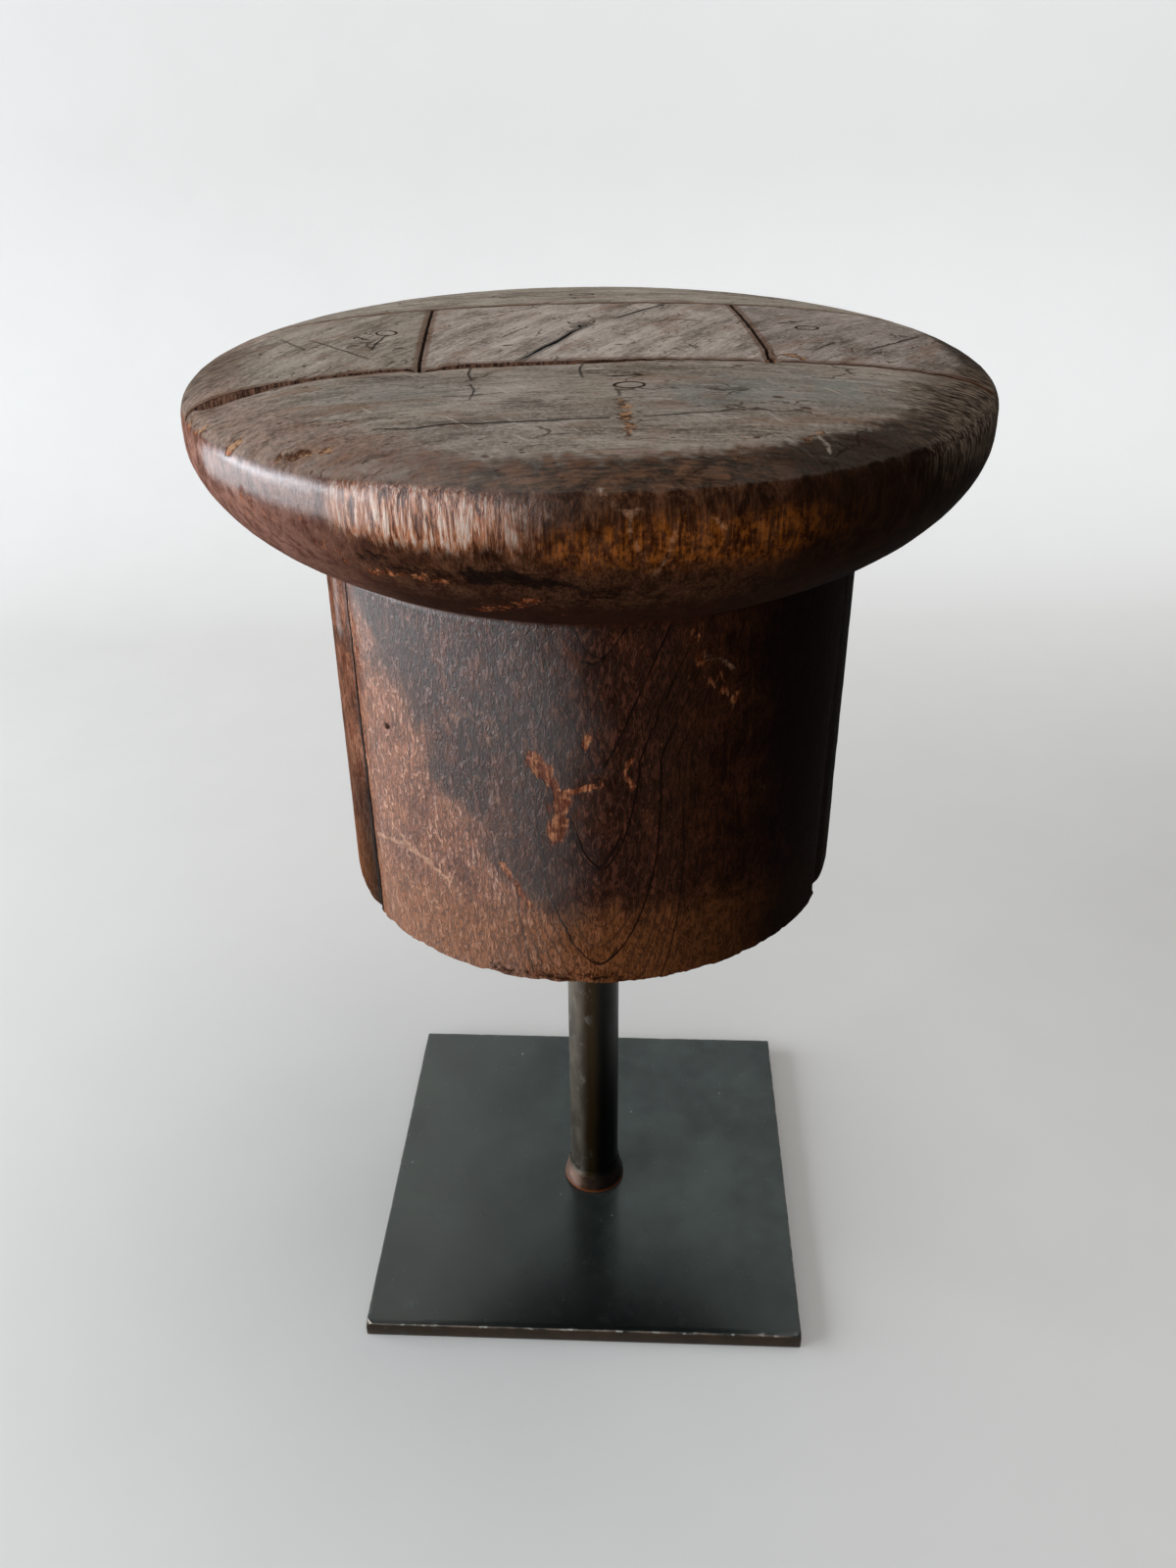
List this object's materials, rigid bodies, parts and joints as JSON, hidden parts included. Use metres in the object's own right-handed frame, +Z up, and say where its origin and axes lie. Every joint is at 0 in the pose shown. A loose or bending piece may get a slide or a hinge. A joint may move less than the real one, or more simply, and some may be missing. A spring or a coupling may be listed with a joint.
{
  "type": "hat block",
  "caption": "Mushroom-shaped wooden hat block that comes apart around a center key, standing on a round steel post with a square base plate.",
  "frame": {"origin": "on the post's axis, at the underside of the base plate", "axes": "+X to the picture's right along the long seams, +Y away from the camera, +Z up along the post"},
  "size_m": [0.253, 0.253, 0.3772],
  "materials": {
    "base_plate_steel": "blackened mild steel, satin, with rubbed brown edges",
    "post_steel": "blackened mild steel bar, satin, slightly bronze",
    "foot_braze": "dull coppery braze",
    "rest_disc_steel": "blackened mild steel",
    "center_key_wood": "bare weathered hardwood, grey-beige, with checks",
    "front_segment_wood": "old dark red-brown hardwood, polished by use on the rim and weathered grey on top",
    "back_segment_wood": "old dark red-brown hardwood, polished by use on the rim and weathered grey on top",
    "left_segment_wood": "old red-brown hardwood, polished by use on the rim and weathered grey on top",
    "right_segment_wood": "old dark brown hardwood, polished by use on the rim and weathered grey on top",
    "spline_wood": "pale close-grained hardwood"
  },
  "bodies": {
    "stand": {"base_plate": "base_plate_steel", "post": "post_steel", "foot_fillet": "foot_braze"},
    "turning_disc": {"rest_disc": "rest_disc_steel"},
    "key": {"center_key": "center_key_wood"},
    "front": {"front_segment": "front_segment_wood", "spline_left_front": "spline_wood", "spline_right_front": "spline_wood"},
    "back": {"back_segment": "back_segment_wood", "spline_left_back": "spline_wood", "spline_right_back": "spline_wood"},
    "left": {"left_segment": "left_segment_wood"},
    "right": {"right_segment": "right_segment_wood"}
  },
  "joints": [
    {"name": "block_turn", "type": "hinge", "parent": "stand", "child": "turning_disc", "pos_m": [0, 0, 0.1847], "axis": [0, 0, 1], "continuous": true},
    {"name": "block_lift", "type": "slide", "parent": "turning_disc", "child": "key", "axis": [0, 0, 1], "range_m": [0, 0.1]},
    {"name": "shell_lift", "type": "slide", "parent": "key", "child": "front", "axis": [0, 0, 1], "range_m": [0, 0.2]},
    {"name": "back_slide", "type": "slide", "parent": "front", "child": "back", "axis": [0, 1, 0], "range_m": [0, 0.06]},
    {"name": "left_slide", "type": "slide", "parent": "front", "child": "left", "axis": [-1, 0, 0], "range_m": [0, 0.09]},
    {"name": "right_slide", "type": "slide", "parent": "front", "child": "right", "axis": [1, 0, 0], "range_m": [0, 0.09]}
  ]
}
